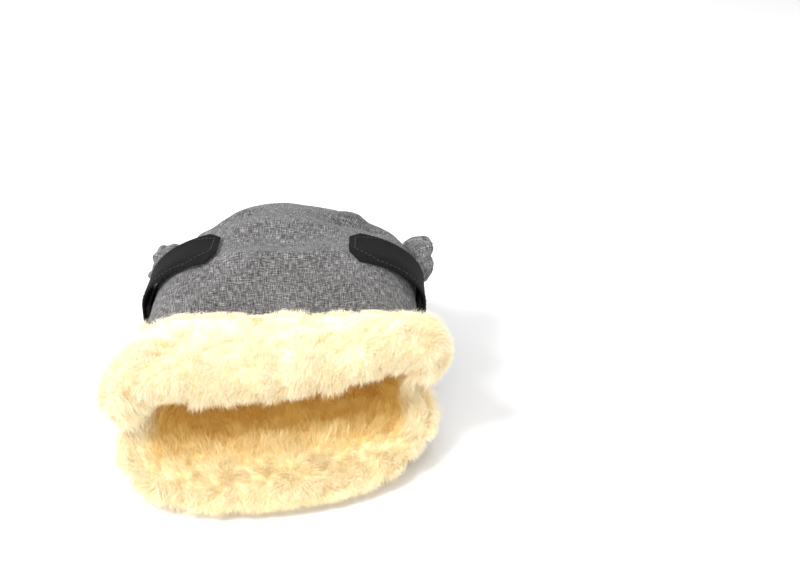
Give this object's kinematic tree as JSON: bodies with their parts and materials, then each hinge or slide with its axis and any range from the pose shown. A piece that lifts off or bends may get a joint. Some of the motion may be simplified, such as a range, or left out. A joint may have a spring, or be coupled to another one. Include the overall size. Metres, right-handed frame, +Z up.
{
  "type": "hand warmer muff",
  "caption": "Lambskin-lined fabric hand muff lying on its back panel, with a turned-out wool cuff, side sleeves for a stroller handle and hook-and-loop tabs.",
  "frame": {"origin": "on the floor under the middle of the muff's bounding box, as it lies on its back panel", "axes": "+Z up; the hand opening and the tongue face -Y, the closed crown is at +Y; the muff is symmetric about X = 0 except for its label"},
  "size_m": [0.225, 0.288, 0.1137],
  "materials": {
    "melange_fabric": "grey melange woven polyester",
    "tanned_hide": "tan suede hide side of a lambskin",
    "lambswool": "cream wool pile",
    "elastic_band": "woven elastic",
    "strap_fabric": "black woven strap",
    "hook_loop_tape": "black hook and loop tape",
    "red_label": "red woven patch"
  },
  "bodies": {
    "back": {"back_shell_panel": "melange_fabric", "back_lambskin_hide": "tanned_hide", "back_wool_pile": "lambswool", "crown_shell": "melange_fabric", "crown_lambskin_hide": "tanned_hide", "crown_wool_pile": "lambswool", "ear_sleeve_left": "melange_fabric", "ear_sleeve_right": "melange_fabric", "ear_elastic_left": "elastic_band", "ear_elastic_right": "elastic_band", "back_strap_left": "strap_fabric", "back_strap_right": "strap_fabric", "loop_tape_left": "hook_loop_tape", "loop_tape_right": "hook_loop_tape"},
    "front_flap": {"front_shell_panel": "melange_fabric", "front_lambskin_hide": "tanned_hide", "front_wool_pile": "lambswool", "label_patch": "red_label"},
    "cuff": {"cuff_shell": "melange_fabric", "cuff_lambskin_hide": "tanned_hide", "cuff_wool_pile": "lambswool"},
    "tab_left": {"front_tab_left": "strap_fabric", "hook_tape_left": "hook_loop_tape"},
    "tab_right": {"front_tab_right": "strap_fabric", "hook_tape_right": "hook_loop_tape"}
  },
  "joints": [
    {"name": "flap_lift", "type": "hinge", "parent": "back", "child": "front_flap", "pos_m": [0, 0.036, 0.1133], "axis": [-1, 0, 0], "range_deg": [0, 25]},
    {"name": "cuff_unroll", "type": "hinge", "parent": "front_flap", "child": "cuff", "pos_m": [0, -0.076, 0.044], "axis": [1, 0, 0], "range_deg": [0, 50]},
    {"name": "tab_left_peel", "type": "hinge", "parent": "front_flap", "child": "tab_left", "pos_m": [-0.0453, 0.01, 0.1122], "axis": [0, 1, 0], "range_deg": [0, 100]},
    {"name": "tab_right_peel", "type": "hinge", "parent": "front_flap", "child": "tab_right", "pos_m": [0.0453, 0.01, 0.1122], "axis": [0, -1, 0], "range_deg": [0, 100]}
  ]
}
